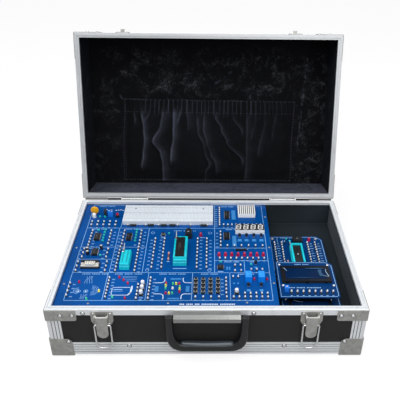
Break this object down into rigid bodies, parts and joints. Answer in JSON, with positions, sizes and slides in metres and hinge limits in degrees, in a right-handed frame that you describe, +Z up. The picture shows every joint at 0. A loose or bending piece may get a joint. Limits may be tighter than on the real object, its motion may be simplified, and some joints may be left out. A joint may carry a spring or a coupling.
{
  "type": "digital logic trainer",
  "caption": "Microcontroller and logic experiment board with breadboard, displays, keypad and sockets, built into an aluminium-framed carrying case with a hinged lid.",
  "frame": {"origin": "on the plane of the feet, under the middle of everything from the handle to the top of the open lid", "axes": "+X to the right as one faces the latches, +Y towards the hinges, +Z up"},
  "size_m": [0.4846, 0.5012, 0.392],
  "materials": {
    "panel_laminate": "black plastic laminate on board",
    "aluminium_profile": "brushed",
    "zinc_steel": "mottled zinc plate",
    "rivet_metal": "bright",
    "foot_rubber": "matte",
    "dark_lining": "dark grey paper on board",
    "circuit_board": "blue solder mask",
    "white_plastic": "smooth",
    "socket_plastic": "smooth",
    "black_moulding": "moulded",
    "lamp_plastic": "clear tinted",
    "display_plastic": "smooth",
    "relay_plastic": "smooth",
    "small_parts": "moulded",
    "connector_shell": "tin plate",
    "contact_metal": "tin plate",
    "velvet": "crushed pile",
    "handle_plastic": "satin moulded"
  },
  "bodies": {
    "base": {"base_panels": "panel_laminate", "base_frame": "aluminium_profile", "base_corner_fittings": "zinc_steel", "base_rivets": "rivet_metal", "rubber_feet": "foot_rubber", "base_lining": "dark_lining", "main_board": "circuit_board", "breadboard": "white_plastic", "core_zif_socket": "socket_plastic", "small_zif_socket": "socket_plastic", "logic_chips": "black_moulding", "indicator_leds": "lamp_plastic", "digit_display": "display_plastic", "dot_matrix_display": "display_plastic", "relays": "relay_plastic", "discrete_parts": "small_parts", "board_connectors": "connector_shell", "jumper_posts": "contact_metal", "switch_bodies": "black_moulding", "base_hinge_leaves": "zinc_steel", "latch_base_plates": "zinc_steel", "handle_bracket": "zinc_steel"},
    "lid": {"lid_panels": "panel_laminate", "lid_frame": "aluminium_profile", "lid_corner_fittings": "zinc_steel", "lid_lining": "velvet", "lid_pocket": "velvet", "lid_catches": "zinc_steel", "lid_hinge_leaves": "zinc_steel"},
    "carry_handle": {"carry_handle": "handle_plastic"},
    "latch_lever_left": {"latch_lever_left": "zinc_steel"},
    "latch_lever_right": {"latch_lever_right": "zinc_steel"},
    "latch_bail_left": {"latch_bail_left": "rivet_metal"},
    "latch_bail_right": {"latch_bail_right": "rivet_metal"},
    "core_zif_lever": {"core_zif_lever": "rivet_metal"},
    "small_zif_lever": {"small_zif_lever": "rivet_metal"},
    "reset_button": {"reset_button": "black_moulding"},
    "level_button_1": {"level_button_1": "white_plastic"},
    "level_button_2": {"level_button_2": "white_plastic"},
    "level_button_3": {"level_button_3": "white_plastic"},
    "relay_button": {"relay_button": "white_plastic"},
    "spare_core_board": {"spare_core_board": "circuit_board"},
    "lcd_board_upper": {"lcd_board_upper": "circuit_board"},
    "lcd_board_lower": {"lcd_board_lower": "circuit_board"},
    "key_1": {"key_1": "black_moulding"},
    "key_2": {"key_2": "black_moulding"},
    "key_3": {"key_3": "black_moulding"},
    "key_4": {"key_4": "black_moulding"},
    "key_5": {"key_5": "black_moulding"},
    "key_6": {"key_6": "black_moulding"},
    "key_7": {"key_7": "black_moulding"},
    "key_8": {"key_8": "black_moulding"},
    "key_9": {"key_9": "black_moulding"},
    "key_10": {"key_10": "black_moulding"},
    "key_11": {"key_11": "black_moulding"},
    "key_12": {"key_12": "black_moulding"},
    "key_13": {"key_13": "black_moulding"},
    "key_14": {"key_14": "black_moulding"},
    "key_15": {"key_15": "black_moulding"},
    "key_16": {"key_16": "black_moulding"}
  },
  "joints": [
    {"name": "lid_hinge", "type": "hinge", "parent": "base", "child": "lid", "pos_m": [0, 0.07164, 0.0975], "axis": [-1, 0, 0], "range_deg": [-106.5, 0]},
    {"name": "handle_pivot", "type": "hinge", "parent": "base", "child": "carry_handle", "pos_m": [0, -0.24306, 0.088], "axis": [-1, 0, 0], "range_deg": [0, 90]},
    {"name": "latch_lever_left_pivot", "type": "hinge", "parent": "base", "child": "latch_lever_left", "pos_m": [-0.156, -0.23956, 0.087], "axis": [-1, 0, 0], "range_deg": [0, 150]},
    {"name": "latch_bail_left_pivot", "type": "hinge", "parent": "latch_lever_left", "child": "latch_bail_left", "pos_m": [-0.156, -0.23956, 0.071], "axis": [1, 0, 0], "range_deg": [-182, 0]},
    {"name": "latch_lever_right_pivot", "type": "hinge", "parent": "base", "child": "latch_lever_right", "pos_m": [0.156, -0.23956, 0.087], "axis": [-1, 0, 0], "range_deg": [0, 150]},
    {"name": "latch_bail_right_pivot", "type": "hinge", "parent": "latch_lever_right", "child": "latch_bail_right", "pos_m": [0.156, -0.23956, 0.071], "axis": [1, 0, 0], "range_deg": [-182, 0]},
    {"name": "core_zif_lever_pivot", "type": "hinge", "parent": "base", "child": "core_zif_lever", "pos_m": [-0.0525, -0.06396, 0.0997], "axis": [1, 0, 0], "range_deg": [0, 75]},
    {"name": "small_zif_lever_pivot", "type": "hinge", "parent": "base", "child": "small_zif_lever", "pos_m": [-0.1385, -0.09896, 0.0997], "axis": [1, 0, 0], "range_deg": [0, 75]},
    {"name": "key_1_press", "type": "slide", "parent": "base", "child": "key_1", "axis": [0, 0, 1], "range_m": [-0.00025, 0], "stiffness_N_per_m": 400, "springref_m": 0.0003},
    {"name": "key_2_press", "type": "slide", "parent": "base", "child": "key_2", "axis": [0, 0, 1], "range_m": [-0.00025, 0], "stiffness_N_per_m": 400, "springref_m": 0.0003},
    {"name": "key_3_press", "type": "slide", "parent": "base", "child": "key_3", "axis": [0, 0, 1], "range_m": [-0.00025, 0], "stiffness_N_per_m": 400, "springref_m": 0.0003},
    {"name": "key_4_press", "type": "slide", "parent": "base", "child": "key_4", "axis": [0, 0, 1], "range_m": [-0.00025, 0], "stiffness_N_per_m": 400, "springref_m": 0.0003},
    {"name": "key_5_press", "type": "slide", "parent": "base", "child": "key_5", "axis": [0, 0, 1], "range_m": [-0.00025, 0], "stiffness_N_per_m": 400, "springref_m": 0.0003},
    {"name": "key_6_press", "type": "slide", "parent": "base", "child": "key_6", "axis": [0, 0, 1], "range_m": [-0.00025, 0], "stiffness_N_per_m": 400, "springref_m": 0.0003},
    {"name": "key_7_press", "type": "slide", "parent": "base", "child": "key_7", "axis": [0, 0, 1], "range_m": [-0.00025, 0], "stiffness_N_per_m": 400, "springref_m": 0.0003},
    {"name": "key_8_press", "type": "slide", "parent": "base", "child": "key_8", "axis": [0, 0, 1], "range_m": [-0.00025, 0], "stiffness_N_per_m": 400, "springref_m": 0.0003},
    {"name": "key_9_press", "type": "slide", "parent": "base", "child": "key_9", "axis": [0, 0, 1], "range_m": [-0.00025, 0], "stiffness_N_per_m": 400, "springref_m": 0.0003},
    {"name": "key_10_press", "type": "slide", "parent": "base", "child": "key_10", "axis": [0, 0, 1], "range_m": [-0.00025, 0], "stiffness_N_per_m": 400, "springref_m": 0.0003},
    {"name": "key_11_press", "type": "slide", "parent": "base", "child": "key_11", "axis": [0, 0, 1], "range_m": [-0.00025, 0], "stiffness_N_per_m": 400, "springref_m": 0.0003},
    {"name": "key_12_press", "type": "slide", "parent": "base", "child": "key_12", "axis": [0, 0, 1], "range_m": [-0.00025, 0], "stiffness_N_per_m": 400, "springref_m": 0.0003},
    {"name": "key_13_press", "type": "slide", "parent": "base", "child": "key_13", "axis": [0, 0, 1], "range_m": [-0.00025, 0], "stiffness_N_per_m": 400, "springref_m": 0.0003},
    {"name": "key_14_press", "type": "slide", "parent": "base", "child": "key_14", "axis": [0, 0, 1], "range_m": [-0.00025, 0], "stiffness_N_per_m": 400, "springref_m": 0.0003},
    {"name": "key_15_press", "type": "slide", "parent": "base", "child": "key_15", "axis": [0, 0, 1], "range_m": [-0.00025, 0], "stiffness_N_per_m": 400, "springref_m": 0.0003},
    {"name": "key_16_press", "type": "slide", "parent": "base", "child": "key_16", "axis": [0, 0, 1], "range_m": [-0.00025, 0], "stiffness_N_per_m": 400, "springref_m": 0.0003},
    {"name": "reset_button_press", "type": "slide", "parent": "base", "child": "reset_button", "axis": [0, 0, 1], "range_m": [-0.00025, 0], "stiffness_N_per_m": 400, "springref_m": 0.0003},
    {"name": "level_button_1_press", "type": "slide", "parent": "base", "child": "level_button_1", "axis": [0, 0, 1], "range_m": [-0.00025, 0], "stiffness_N_per_m": 400, "springref_m": 0.0003},
    {"name": "level_button_2_press", "type": "slide", "parent": "base", "child": "level_button_2", "axis": [0, 0, 1], "range_m": [-0.00025, 0], "stiffness_N_per_m": 400, "springref_m": 0.0003},
    {"name": "level_button_3_press", "type": "slide", "parent": "base", "child": "level_button_3", "axis": [0, 0, 1], "range_m": [-0.00025, 0], "stiffness_N_per_m": 400, "springref_m": 0.0003},
    {"name": "relay_button_press", "type": "slide", "parent": "base", "child": "relay_button", "axis": [0, 0, 1], "range_m": [-0.00025, 0], "stiffness_N_per_m": 400, "springref_m": 0.0003},
    {"name": "lcd_board_lower_lift", "type": "slide", "parent": "base", "child": "lcd_board_lower", "axis": [0, 0, 1], "range_m": [0, 0.06]},
    {"name": "spare_core_board_lift", "type": "slide", "parent": "lcd_board_lower", "child": "spare_core_board", "axis": [0, 0, 1], "range_m": [0, 0.06]},
    {"name": "lcd_board_upper_lift", "type": "slide", "parent": "spare_core_board", "child": "lcd_board_upper", "axis": [0, 0, 1], "range_m": [0, 0.06]}
  ]
}
